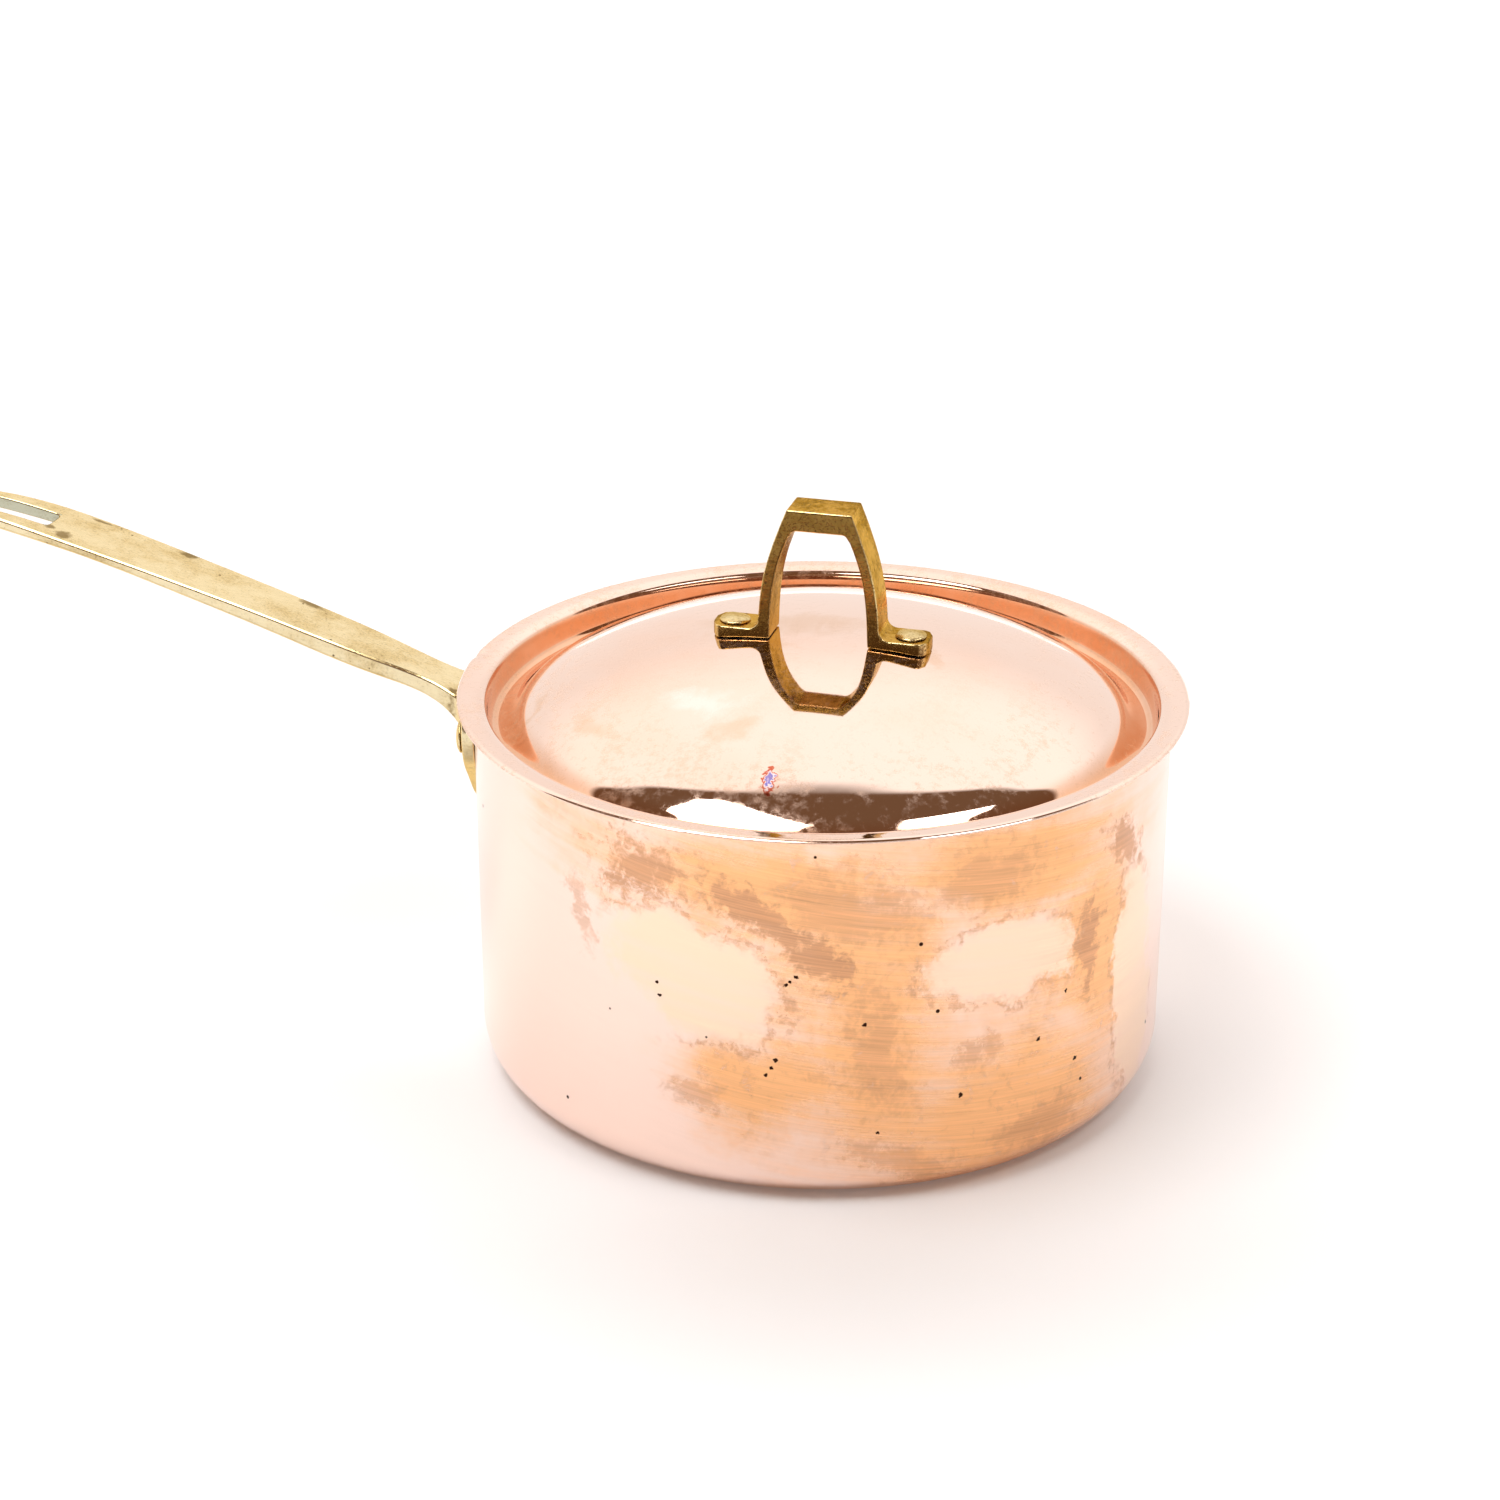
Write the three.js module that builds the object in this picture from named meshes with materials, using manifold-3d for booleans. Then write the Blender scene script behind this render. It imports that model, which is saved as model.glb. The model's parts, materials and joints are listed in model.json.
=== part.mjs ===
// Straight-sided copper saucepan with a bright lining, a long brass handle and a loose lid.
// Millimetres, +Z up. The origin is the centre of the underside of the base.
// The long handle points along -X and the lid's loop handle stands in the XZ plane.

import * as THREE from "three";
import { mergeVertices } from "three/addons/utils/BufferGeometryUtils.js";
import Module from "manifold-3d";

const wasm = await Module();
wasm.setup();

// Pan body
const PAN_RADIUS = 94;
const PAN_HEIGHT = 103.5;
const COPPER_WALL = 1.0;
const LINING_GAP = 0.2;
const LINING_WALL = 0.4;
const BASE_FILLET = 12;
const ROUND_STEPS = 72;

// Lid
const LID_RADIUS = 98.5;
const LID_COPPER = 0.6;
const LID_GAP = 0.2;
const LID_LINING = 0.3;
const DOME_TOP = 120.4;
const DOME_RADII = [0, 28, 50, 66, 76];
const DOME_SQUARE = 0.0019;
const DOME_FOURTH = 1.3e-7;

// Lid profile outside the dome as [radius, height]: the groove and its wall, the dished
// flange that rests over the rim, and the flange's edge, which rolls down a little.
const LID_GROOVE = [
  [78.5, 103.5],
  [81, 101.3],
  [84, 98.7],
  [86.5, 97.1],
  [88.1, 96.7],
  [89.3, 97.4],
  [90.1, 99],
  [90.4, 101],
  [90.55, 103.2],
  [90.9, 104.2],
];
const LID_FLANGE = [
  [91.6, 104.75],
  [96.6, 105.6],
];
const LID_ROLLED_EDGE = [
  [98.05, 105.45],
  [LID_RADIUS, 105.05],
];

// Handle flange and rivets
const CLEARANCE = 0.3;
const FLANGE_INNER = PAN_RADIUS + CLEARANCE;
const FLANGE_OUTER = 98;
const RIM_LEVEL = 103.7;
const RIVET_SHANK = 2.6;
const RIVET_HEAD = 4.6;
const RIVET_DOME = 1.4;
const UPPER_RIVET_ANGLE = 12.5;
const UPPER_RIVET_Z = RIM_LEVEL - 14.5;
const LOWER_RIVET_Z = RIM_LEVEL - 33;

// Loop handle on the lid
const LOOP_TOP = 157.1;
const LOOP_DEPTH = 11.6;
const LUG_REACH = 29.6;
const LUG_THICKNESS = 3.1;
const LID_RIVET_X = 24.2;
const LID_RIVET_HEAD = 4.2;
const LID_RIVET_SHANK = 2.2;

const DEGREE = Math.PI / 180;

function copperMaterial() {
  return new THREE.MeshStandardMaterial({ color: 0xd98b62, roughness: 0.24, metalness: 1 });
}

function lidCopperMaterial() {
  return new THREE.MeshStandardMaterial({ color: 0xe2a283, roughness: 0.12, metalness: 1 });
}

function liningMaterial() {
  return new THREE.MeshStandardMaterial({ color: 0xc6c6c2, roughness: 0.34, metalness: 1 });
}

function brassMaterial() {
  return new THREE.MeshStandardMaterial({ color: 0xc9a659, roughness: 0.3, metalness: 1 });
}

function agedBrassMaterial() {
  return new THREE.MeshStandardMaterial({ color: 0x9a7c3c, roughness: 0.34, metalness: 1 });
}

function rivetMaterial() {
  return new THREE.MeshStandardMaterial({ color: 0xd6bd77, roughness: 0.3, metalness: 1 });
}

// A closed indexed geometry made into a solid for joining and cutting.
function toSolid(geometry) {
  const bare = geometry.clone();
  bare.deleteAttribute("normal");
  bare.deleteAttribute("uv");
  const merged = mergeVertices(bare, 1e-4);
  const mesh = new wasm.Mesh({
    numProp: 3,
    vertProperties: new Float32Array(merged.attributes.position.array),
    triVerts: new Uint32Array(merged.index.array),
  });
  return new wasm.Manifold(mesh);
}

function toGeometry(solid) {
  const mesh = solid.getMesh();
  const geometry = new THREE.BufferGeometry();
  geometry.setAttribute("position", new THREE.BufferAttribute(new Float32Array(mesh.vertProperties), 3));
  geometry.setIndex(new THREE.BufferAttribute(new Uint32Array(mesh.triVerts), 1));
  geometry.computeVertexNormals();
  return geometry;
}

function namedMesh(name, geometry, material) {
  const mesh = new THREE.Mesh(geometry, material);
  mesh.name = name;
  return mesh;
}

// Turns a closed profile of [radius, height] pairs about the Z axis.
function revolve(profile, steps) {
  const points = profile.map(([radius, height]) => new THREE.Vector2(radius, height));
  const geometry = new THREE.LatheGeometry(points, steps);
  geometry.rotateX(Math.PI / 2);
  return geometry;
}

function arcPoints(centreX, centreY, radius, from, to, steps) {
  const points = [];
  for (let i = 0; i <= steps; i += 1) {
    const angle = (from + ((to - from) * i) / steps) * DEGREE;
    points.push([centreX + radius * Math.cos(angle), centreY + radius * Math.sin(angle)]);
  }
  return points;
}

// An outline of [a, b] pairs made into a slab of the given depth along the third axis.
function slab(outline, depth) {
  const shape = new THREE.Shape(outline.map(([a, b]) => new THREE.Vector2(a, b)));
  const geometry = new THREE.ExtrudeGeometry(shape, { depth, bevelEnabled: false, curveSegments: 8 });
  geometry.translate(0, 0, -depth / 2);
  return geometry;
}

// A cup wall between two radii: straight sides, a rounded corner and a flat bottom.
function cupGeometry(outerRadius, wall, bottomZ, topZ, outerFillet) {
  const innerFillet = outerFillet - wall;
  const outside = arcPoints(outerRadius - outerFillet, bottomZ + outerFillet, outerFillet, -90, 0, 4);
  const inside = arcPoints(outerRadius - outerFillet, bottomZ + outerFillet, innerFillet, 0, -90, 4);
  const profile = [
    [0, bottomZ],
    ...outside,
    [outerRadius, topZ],
    [outerRadius - wall, topZ],
    ...inside,
    [0, bottomZ + wall],
  ];
  return revolve(profile, ROUND_STEPS);
}

function domeHeight(radius) {
  const square = radius * radius;
  return DOME_TOP - DOME_SQUARE * square - DOME_FOURTH * square * square;
}

// Upper surface of the lid from the centre outward. The lining stops short of the rolled edge.
function lidSurface(withRolledEdge) {
  const dome = DOME_RADII.map((radius) => [radius, domeHeight(radius)]);
  const edge = withRolledEdge ? LID_ROLLED_EDGE : [];
  return [...dome, ...LID_GROOVE, ...LID_FLANGE, ...edge];
}

// Moves each profile point along the profile's downward normal.
function offsetProfile(points, distance) {
  return points.map((point, i) => {
    const before = points[Math.max(0, i - 1)];
    const after = points[Math.min(points.length - 1, i + 1)];
    const run = i === 0 ? 1 : after[0] - before[0];
    const rise = i === 0 || i === points.length - 1 ? 0 : after[1] - before[1];
    const length = Math.hypot(run, rise);
    return [point[0] + (distance * rise) / length, point[1] - (distance * run) / length];
  });
}

// One sheet of the lid: its upper face lies the given depth under the lid's upper surface.
function lidSheetGeometry(depth, thickness, withRolledEdge) {
  const surface = lidSurface(withRolledEdge);
  const upper = offsetProfile(surface, depth);
  const lower = offsetProfile(surface, depth + thickness);
  return revolve([...lower, ...upper.reverse()], ROUND_STEPS);
}

// A round bar along a given axis, used to drill the rivet holes.
function drill(radius, length) {
  return revolve([[0, -length / 2], [radius, -length / 2], [radius, length / 2], [0, length / 2]], 16);
}

// Positions of the handle rivets: angle from the -X direction and height.
const HANDLE_RIVETS = [
  { name: "handle_rivet_front", angle: UPPER_RIVET_ANGLE, height: UPPER_RIVET_Z },
  { name: "handle_rivet_rear", angle: -UPPER_RIVET_ANGLE, height: UPPER_RIVET_Z },
  { name: "handle_rivet_lower", angle: 0, height: LOWER_RIVET_Z },
];

// Turns geometry built along +Z so that it points outward through the pan wall.
function aimThroughWall(geometry, rivet, distance) {
  geometry.translate(0, 0, distance);
  geometry.rotateY(-Math.PI / 2);
  geometry.rotateZ(rivet.angle * DEGREE);
  geometry.translate(0, 0, rivet.height);
  return geometry;
}

function handleRivetHoles() {
  let holes = null;
  for (const rivet of HANDLE_RIVETS) {
    const hole = toSolid(aimThroughWall(drill(RIVET_SHANK + CLEARANCE, 16), rivet, 96));
    holes = holes ? holes.add(hole) : hole;
  }
  return holes;
}

// A rivet through flange, wall and lining: low inner head, shank and domed outer head.
function handleRivetGeometry(rivet) {
  const inner = PAN_RADIUS - COPPER_WALL - LINING_GAP - LINING_WALL;
  const dome = arcDome(RIVET_HEAD, RIVET_DOME, FLANGE_OUTER + 0.4, 3);
  const profile = [
    [0, inner - 1.2],
    [3.6, inner - 1.2],
    [4.4, inner - 0.8],
    [4.4, inner - 0.45],
    [RIVET_SHANK, inner - 0.45],
    [RIVET_SHANK, FLANGE_OUTER + 0.4],
    ...dome,
  ];
  return aimThroughWall(revolve(profile, 16), rivet, 0);
}

// Profile of a low dome from its rim up to the axis.
function arcDome(radius, height, base, steps) {
  const points = [];
  for (let i = 0; i <= steps; i += 1) {
    const angle = (90 * i * DEGREE) / steps;
    points.push([radius * Math.cos(angle), base + height * Math.sin(angle)]);
  }
  points[steps][0] = 0;
  return points;
}

// Stations along the handle bar: distance from the pan's axis, top, thickness and width.
// Tops are measured from the rim level; the first stations flare out into the flange.
const BAR_STATIONS = [
  [96.2, -7.6, 18.4, 30.0],
  [100.9, -8.8, 9.2, 18.6],
  [107.0, -6.5, 6.4, 14.5],
  [125.0, -0.2, 5.4, 15.9],
  [155.0, 9.4, 4.9, 18.4],
  [185.0, 18.3, 3.8, 20.0],
  [215.0, 26.7, 3.1, 21.4],
  [240.0, 32.3, 3.6, 21.4],
  [264.0, 35.0, 3.0, 21.4],
];
const BAR_END = 264;
const END_ROUND = 46;

// A smooth curve through one column of the stations, against distance.
function stationCurve(column) {
  return new THREE.SplineCurve(BAR_STATIONS.map((row) => new THREE.Vector2(row[0], row[column])));
}

// The free end is half an ellipse in plan.
function endTaper(distance) {
  const along = Math.max(0, distance - (BAR_END - END_ROUND)) / END_ROUND;
  return Math.sqrt(Math.max(0, 1 - along * along));
}

// Parameters of the sections: even along the bar and closing up at the round end.
function barParameters() {
  const values = [];
  const lastSpan = 1 / (BAR_STATIONS.length - 1);
  for (let i = 0; i <= 14; i += 1) {
    values.push(((1 - lastSpan) * i) / 14);
  }
  for (let i = 1; i <= 4; i += 1) {
    values.push(1 - lastSpan + lastSpan * 0.985 * Math.sin((90 * i * DEGREE) / 4));
  }
  return values;
}

// One bar section: flat top, small chamfers and slightly drawn-in sides.
function barSection(distance, top, thickness, width) {
  const half = (width * endTaper(distance)) / 2;
  const chamfer = Math.min(0.8, thickness / 4);
  const high = RIM_LEVEL + top;
  const low = high - thickness;
  const right = [
    [half - chamfer, high],
    [half, high - chamfer],
    [half - 0.3, low + chamfer],
    [half - 0.3 - chamfer, low],
  ];
  const left = right.slice().reverse().map(([y, z]) => [-y, z]);
  return [...right, ...left].map(([y, z]) => [-distance, y, z]);
}

function barRings() {
  const tops = stationCurve(1);
  const thicknesses = stationCurve(2);
  const widths = stationCurve(3);
  return barParameters().map((t) => {
    const top = tops.getPoint(t);
    return barSection(top.x, top.y, thicknesses.getPoint(t).y, widths.getPoint(t).y);
  });
}

// Skins a row of equal-sized rings and closes both ends.
function loft(rings) {
  const count = rings[0].length;
  const positions = rings.flat(2);
  const index = [];
  for (let i = 0; i + 1 < rings.length; i += 1) {
    for (let j = 0; j < count; j += 1) {
      const a = i * count + j;
      const b = i * count + ((j + 1) % count);
      index.push(a, b, b + count);
      index.push(a, b + count, a + count);
    }
  }
  const last = (rings.length - 1) * count;
  for (let j = 1; j + 1 < count; j += 1) {
    index.push(0, j + 1, j);
    index.push(last, last + j, last + j + 1);
  }
  const geometry = new THREE.BufferGeometry();
  geometry.setAttribute("position", new THREE.Float32BufferAttribute(positions, 3));
  geometry.setIndex(index);
  return geometry;
}

// Shield outline of the flange, as seen from outside: level top, round shoulders and a low tip.
function shieldOutline() {
  const shape = new THREE.Shape();
  shape.moveTo(0, -5);
  shape.lineTo(21, -5);
  shape.quadraticCurveTo(27.6, -5.4, 27.4, -12.5);
  shape.bezierCurveTo(27.2, -20, 16, -29, 9.8, -36.4);
  shape.quadraticCurveTo(6, -40.8, 0, -40.8);
  const right = shape.getPoints(4).map((point) => [point.x, point.y]);
  const left = right.slice(1, -1).reverse().map(([y, z]) => [-y, z]);
  return [...right, ...left];
}

// The flange is the part of a curved band that lies inside the shield outline.
function flangeSolid() {
  const band = revolve(
    [
      [FLANGE_INNER, RIM_LEVEL - 60],
      [FLANGE_OUTER, RIM_LEVEL - 60],
      [FLANGE_OUTER, RIM_LEVEL],
      [FLANGE_INNER, RIM_LEVEL],
      [FLANGE_INNER, RIM_LEVEL - 60],
    ],
    120,
  );
  const shield = slab(shieldOutline(), 60);
  shield.rotateX(Math.PI / 2);
  shield.rotateZ(Math.PI / 2);
  shield.translate(-PAN_RADIUS, 0, RIM_LEVEL);
  return toSolid(band).intersect(toSolid(shield));
}

// Hanging slot near the free end: squared at the pan side and round at the far side.
function slotSolid() {
  const outline = [
    [-223.8, -3.4],
    [-223.8, 3.4],
    [-225.0, 4.7],
    [-236.0, 4.9],
    ...arcPoints(-246.0, 0, 4.3, 90, 270, 8),
    [-236.0, -4.9],
    [-225.0, -4.7],
  ];
  const geometry = slab(outline, 30);
  geometry.translate(0, 0, RIM_LEVEL + 30);
  return toSolid(geometry);
}

function handleGeometry() {
  const bar = toSolid(loft(barRings()));
  const joined = bar.add(flangeSolid());
  return toGeometry(joined.subtract(slotSolid()).subtract(handleRivetHoles()));
}

// Edges of the loop's leg, half width and height, from the foot up to the top.
const LEG_OUTER = [
  [16.6, 118.0],
  [16.2, 130.0],
  [14.0, 142.6],
  [10.0, 154.2],
  [8.8, LOOP_TOP],
];
const LEG_INNER = [
  [13.5, 118.0],
  [13.0, 130.0],
  [10.8, 142.6],
  [8.4, 149.4],
  [6.0, 151.3],
];

function smoothEdge(points, steps) {
  const curve = new THREE.SplineCurve(points.map(([x, z]) => new THREE.Vector2(x, z)));
  return curve.getPoints(steps).map((point) => [point.x, point.y]);
}

// The loop is a flat strap bent to a flat-topped arch; its legs are cut to the dome later.
function loopArch() {
  const outer = smoothEdge(LEG_OUTER, 8);
  const inner = smoothEdge(LEG_INNER, 8);
  const flip = (points) => points.map(([x, z]) => [-x, z]);
  const outline = [...outer, ...flip(outer).reverse(), ...flip(inner), ...inner.slice().reverse()];
  const geometry = slab(outline, LOOP_DEPTH);
  geometry.rotateX(Math.PI / 2);
  return toSolid(geometry);
}

// A lug reaches outward from each leg; its outer end is rounded in plan.
function lugSolid(side) {
  const half = LOOP_DEPTH / 2;
  const corner = 3.4;
  const outline = [
    [14.2, -half],
    ...arcPoints(LUG_REACH - corner, -half + corner, corner, -90, 0, 4),
    ...arcPoints(LUG_REACH - corner, half - corner, corner, 0, 90, 4),
    [14.2, half],
  ];
  const bottom = 116.8;
  const top = domeHeight(24) + 0.3 + LUG_THICKNESS;
  const geometry = slab(outline, top - bottom);
  geometry.translate(0, 0, (top + bottom) / 2);
  if (side < 0) {
    geometry.rotateZ(Math.PI);
  }
  return toSolid(geometry);
}

// Everything under the lid's upper surface plus a small clearance.
function underDome() {
  const profile = [[0, 100]];
  profile.push([40, 100]);
  for (const radius of [40, 34, 28, 22, 16, 10, 0]) {
    profile.push([radius, domeHeight(radius) + CLEARANCE]);
  }
  return toSolid(revolve(profile, ROUND_STEPS));
}

function lidRivetHole(side) {
  const hole = drill(LID_RIVET_SHANK + CLEARANCE, 20);
  hole.translate(side * LID_RIVET_X, 0, domeHeight(LID_RIVET_X));
  return toSolid(hole);
}

function lidLoopGeometry() {
  let solid = loopArch().add(lugSolid(1)).add(lugSolid(-1)).subtract(underDome());
  for (const side of [1, -1]) {
    solid = solid.subtract(lidRivetHole(side));
  }
  return toGeometry(solid);
}

function drilledLidSheet(depth, thickness, withRolledEdge) {
  let solid = toSolid(lidSheetGeometry(depth, thickness, withRolledEdge));
  for (const side of [1, -1]) {
    solid = solid.subtract(lidRivetHole(side));
  }
  return toGeometry(solid);
}

// A rivet down through a lug and both lid sheets, with a hammered low head on each end.
function lidRivetGeometry(side) {
  const lugTop = domeHeight(24) + 0.3 + LUG_THICKNESS;
  const under = domeHeight(LID_RIVET_X + 4.2) - LID_COPPER - LID_GAP - LID_LINING - 0.7;
  const profile = [
    [0, under - 1.0],
    [3.2, under - 1.0],
    [4.0, under - 0.6],
    [4.0, under],
    [LID_RIVET_SHANK, under],
    [LID_RIVET_SHANK, lugTop + 0.3],
    ...arcDome(LID_RIVET_HEAD, 1.1, lugTop + 0.3, 3),
  ];
  const geometry = revolve(profile, 16);
  geometry.translate(side * LID_RIVET_X, 0, 0);
  return geometry;
}

function panGroup() {
  const group = new THREE.Group();
  const holes = handleRivetHoles();
  const shell = toSolid(cupGeometry(PAN_RADIUS, COPPER_WALL, 0, PAN_HEIGHT, BASE_FILLET));
  group.add(namedMesh("pan_shell", toGeometry(shell.subtract(holes)), copperMaterial()));
  const inset = COPPER_WALL + LINING_GAP;
  const cup = cupGeometry(PAN_RADIUS - inset, LINING_WALL, inset, PAN_HEIGHT, BASE_FILLET - inset);
  const lining = toSolid(cup);
  group.add(namedMesh("pan_lining", toGeometry(lining.subtract(holes)), liningMaterial()));
  group.add(namedMesh("long_handle", handleGeometry(), brassMaterial()));
  for (const rivet of HANDLE_RIVETS) {
    group.add(namedMesh(rivet.name, handleRivetGeometry(rivet), rivetMaterial()));
  }
  return group;
}

function lidGroup() {
  const group = new THREE.Group();
  const sheet = drilledLidSheet(0, LID_COPPER, true);
  group.add(namedMesh("lid_sheet", sheet, lidCopperMaterial()));
  const lining = drilledLidSheet(LID_COPPER + LID_GAP, LID_LINING, false);
  group.add(namedMesh("lid_lining", lining, liningMaterial()));
  group.add(namedMesh("lid_loop_handle", lidLoopGeometry(), agedBrassMaterial()));
  group.add(namedMesh("lid_rivet_outer", lidRivetGeometry(-1), rivetMaterial()));
  group.add(namedMesh("lid_rivet_inner", lidRivetGeometry(1), rivetMaterial()));
  return group;
}

const saucepan = new THREE.Group();
saucepan.add(panGroup());
saucepan.add(lidGroup());

export default saucepan;
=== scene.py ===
"""Visual model of a copper saucepan: long brass handle, domed lid and brass loop handle.

Metres, +Z up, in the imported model's own frame. Driving dimensions are in millimetres.
"""

import json
import math

import bmesh
import bpy
import numpy as np
from mathutils import Matrix, Vector, noise


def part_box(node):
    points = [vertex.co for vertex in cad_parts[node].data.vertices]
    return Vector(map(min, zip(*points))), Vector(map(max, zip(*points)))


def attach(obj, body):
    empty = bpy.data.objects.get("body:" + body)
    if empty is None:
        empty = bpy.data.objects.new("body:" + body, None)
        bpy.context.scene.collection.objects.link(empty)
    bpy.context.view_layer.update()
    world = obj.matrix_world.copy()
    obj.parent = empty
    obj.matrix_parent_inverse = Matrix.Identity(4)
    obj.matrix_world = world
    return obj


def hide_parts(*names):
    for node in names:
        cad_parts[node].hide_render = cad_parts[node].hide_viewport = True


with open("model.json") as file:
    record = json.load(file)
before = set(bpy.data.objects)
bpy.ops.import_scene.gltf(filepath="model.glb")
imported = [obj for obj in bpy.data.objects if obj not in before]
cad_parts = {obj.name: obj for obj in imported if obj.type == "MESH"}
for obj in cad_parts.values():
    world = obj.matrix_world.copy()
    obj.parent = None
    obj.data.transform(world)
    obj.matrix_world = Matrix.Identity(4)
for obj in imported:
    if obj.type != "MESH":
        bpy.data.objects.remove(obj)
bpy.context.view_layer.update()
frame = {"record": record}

MM = 0.001
DEGREE = math.pi / 180

# Pan, from the frame
PAN_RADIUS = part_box("pan_shell")[1].x / MM
PAN_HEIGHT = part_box("pan_shell")[1].z / MM
COPPER_WALL = 1.0
LINING_GAP = 0.2
LINING_WALL = 0.4
BASE_FILLET = 12

# Lid, from the frame
LID_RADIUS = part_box("lid_sheet")[1].x / MM
DOME_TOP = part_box("lid_sheet")[1].z / MM
DOME_SQUARE = 0.0019
DOME_FOURTH = 1.3e-7
DOME_RADII = (0, 15, 28, 40, 50, 58, 66, 72, 76)
LID_COPPER = 0.6
LID_GAP = 0.2
LID_LINING = 0.3
LID_GROOVE = (
    (78.5, 103.5),
    (81, 101.5),
    (84, 98.3),
    (86.5, 96.9),
    (88.1, 96.7),
    (89.3, 97.4),
    (90.1, 99),
    (90.4, 101),
    (90.55, 103.2),
    (90.9, 104.2),
)
LID_FLANGE = ((91.6, 104.75), (96.6, 105.6))
LID_ROLLED_EDGE = ((98.05, 105.45), (LID_RADIUS, 105.05))

# Shallow dent in the lid's flat rim
DENT_PLACE = (-98.2, -1.8)
DENT_RADIUS = 3.6
DENT_DEPTH = 0.45

# Long handle: distance from the axis, top, thickness and width; tops are from the rim level.
RIM_LEVEL = PAN_HEIGHT + 0.2
BAR_STATIONS = (
    (96.2, -7.6, 18.4, 30.0),
    (100.9, -8.8, 9.2, 18.6),
    (107.0, -6.5, 6.4, 14.5),
    (125.0, -0.2, 5.4, 15.9),
    (155.0, 9.4, 4.9, 18.4),
    (185.0, 18.3, 3.8, 20.0),
    (215.0, 26.7, 3.1, 21.4),
    (240.0, 32.3, 3.6, 21.4),
    (264.0, 35.0, 3.0, 21.4),
)
BAR_END = 264
END_ROUND = 46
BAR_CHAMFER = 0.6
SLOT_NEAR = 223.8
SLOT_FAR = 250.3
SLOT_LENGTH = SLOT_FAR - SLOT_NEAR
SLOT_WIDTH = 9.6
FLANGE_INNER = 94.3
FLANGE_OUTER = 98
FLANGE_CENTRE = -17.5

# Rivets
HANDLE_RIVETS = (
    ("handle_rivet_front", 12.5, RIM_LEVEL - 14.5),
    ("handle_rivet_rear", -12.5, RIM_LEVEL - 14.5),
    ("handle_rivet_lower", 0.0, RIM_LEVEL - 33),
)
LID_RIVETS = (("lid_rivet_outer", -24.2), ("lid_rivet_inner", 24.2))

# Loop handle
LOOP_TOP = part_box("lid_loop_handle")[1].z / MM
LOOP_HALF_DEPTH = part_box("lid_loop_handle")[1].y / MM
LUG_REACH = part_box("lid_loop_handle")[1].x / MM
LUG_THICKNESS = 3.1
LUG_CORNER = 3.4
LUG_SEAT_GAP = 0.3
LUG_INNER_END = 19.4
LUG_FILLET = 2.8
STRAP_BEVEL = 0.6
LEG_OUTSIDE = ((16.3, 130), (14.0, 142.6), (10.1, 153.9))
LEG_INSIDE = ((13.0, 130), (10.8, 142.6), (8.4, 149.4))
LOOP_FLAT_UNDER = 151.3

# Steps round the axis
PAN_STEPS = 320
LID_STEPS = 420
LID_LINING_STEPS = 300
RIVET_STEPS = 56

# Camera: turned round the object from the front, looking down
CAMERA_TURN = 15
CAMERA_PITCH = 23.555
CAMERA_LENS = 79.2
CAMERA_DISTANCE = 0.9331
CAMERA_RIGHT = -0.0195
CAMERA_RISE = 0.0797


# ---------------------------------------------------------------- mesh helpers

def natural_spline(points, per_span=10):
    """A smooth curve through the points, as an array of points."""
    p = np.array(points, float)
    count = len(p)
    t = np.concatenate([[0], np.cumsum(np.linalg.norm(np.diff(p, axis=0), axis=1))])
    h = np.diff(t)
    matrix = np.eye(count)
    right = np.zeros_like(p)
    for i in range(1, count - 1):
        matrix[i, i - 1:i + 2] = h[i - 1], 2 * (h[i - 1] + h[i]), h[i]
        right[i] = 6 * ((p[i + 1] - p[i]) / h[i] - (p[i] - p[i - 1]) / h[i - 1])
    m = np.linalg.solve(matrix, right)
    out = []
    for i in range(count - 1):
        slope_here = p[i] / h[i] - m[i] * h[i] / 6
        slope_next = p[i + 1] / h[i] - m[i + 1] * h[i] / 6
        for s in np.arange(per_span) / per_span * h[i]:
            a = h[i] - s
            curve = m[i] * a ** 3 / (6 * h[i]) + m[i + 1] * s ** 3 / (6 * h[i])
            out.append(curve + slope_here * a + slope_next * s)
    out.append(p[-1])
    return np.array(out)


def rounded(corners, steps=4):
    """A line of (a, b, radius) corners with each inner corner turned into an arc."""
    points = [Vector(c[:2]) for c in corners]
    out = [tuple(points[0])]
    for i in range(1, len(corners) - 1):
        radius = corners[i][2] if len(corners[i]) > 2 else 0
        here = points[i]
        before = (points[i - 1] - here).normalized()
        after = (points[i + 1] - here).normalized()
        if radius <= 0:
            out.append(tuple(here))
            continue
        half = math.acos(max(-1, min(1, before.dot(after)))) / 2
        reach = radius / math.tan(half)
        centre = here + (before + after).normalized() * radius / math.sin(half)
        start = here + before * reach - centre
        turn = start.angle_signed(here + after * reach - centre)
        for k in range(steps + 1):
            out.append(tuple(centre + Matrix.Rotation(-turn * k / steps, 2) @ start))
    out.append(tuple(points[-1]))
    return out


def finish_mesh(name, bm, weld=1e-7):
    """A smooth-shaded object in metres from a mesh built in millimetres."""
    bmesh.ops.scale(bm, vec=(MM, MM, MM), verts=bm.verts)
    bmesh.ops.remove_doubles(bm, verts=bm.verts, dist=weld)
    loose = [v for v in bm.verts if not v.link_faces]
    bmesh.ops.delete(bm, geom=loose, context="VERTS")
    bmesh.ops.recalc_face_normals(bm, faces=bm.faces)
    for face in bm.faces:
        face.smooth = True
    mesh = bpy.data.meshes.new(name)
    bm.to_mesh(mesh)
    bm.free()
    piece = bpy.data.objects.new(name, mesh)
    bpy.context.scene.collection.objects.link(piece)
    return piece


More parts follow.
